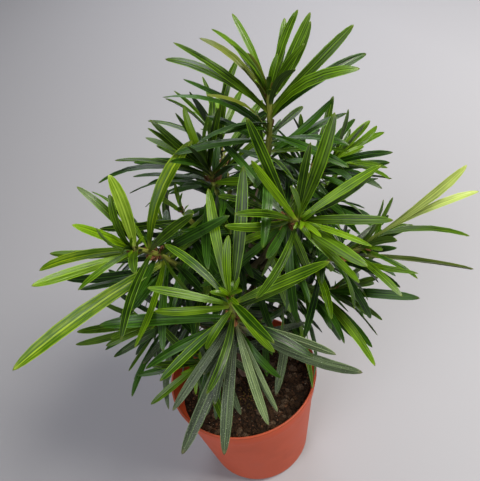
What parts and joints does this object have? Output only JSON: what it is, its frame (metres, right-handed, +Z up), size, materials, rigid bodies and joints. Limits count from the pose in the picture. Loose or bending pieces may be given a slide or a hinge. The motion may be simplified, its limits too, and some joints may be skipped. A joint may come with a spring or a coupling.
{
  "type": "podocarpus",
  "caption": "Young podocarpus in its round tapered nursery pot: a leaning trunk, curved boughs and open masses of narrow strap leaves, standing on the pot's flat underside.",
  "frame": {"origin": "centre of the pot's flat underside", "axes": "+Z up; -Y towards the front of the plant; +X to its right, the way the trunk leans"},
  "size_m": [0.2177, 0.175, 0.2858],
  "materials": {
    "pot": "moulded terracotta-coloured polypropylene, matte",
    "soil": "moist peaty potting soil with pale grains",
    "bark": "thin pinkish-brown bark, finely ridged",
    "foliage": "leathery strap leaves with a satin upper face and a raised pale midrib"
  },
  "bodies": {
    "root": {"pot": "pot", "soil": "soil", "trunk": "bark", "bough_front": "bark", "bough_left": "bark", "bough_low_left": "bark", "bough_right": "bark", "bough_middle": "bark", "bough_upper_left": "bark", "bough_upper_right": "bark", "bough_low_right": "bark", "bough_centre_left": "bark", "bough_centre_right": "bark", "bough_low_front": "bark", "bough_back": "bark", "bough_back_left": "bark", "bough_back_right": "bark", "foliage_top": "foliage", "foliage_front": "foliage", "foliage_left": "foliage", "foliage_low_left": "foliage", "foliage_right": "foliage", "foliage_middle": "foliage", "foliage_upper_left": "foliage", "foliage_upper_right": "foliage", "foliage_low_right": "foliage", "foliage_centre_left": "foliage", "foliage_centre_right": "foliage", "foliage_low_front": "foliage", "foliage_back": "foliage", "foliage_back_left": "foliage", "foliage_back_right": "foliage"}
  },
  "joints": []
}
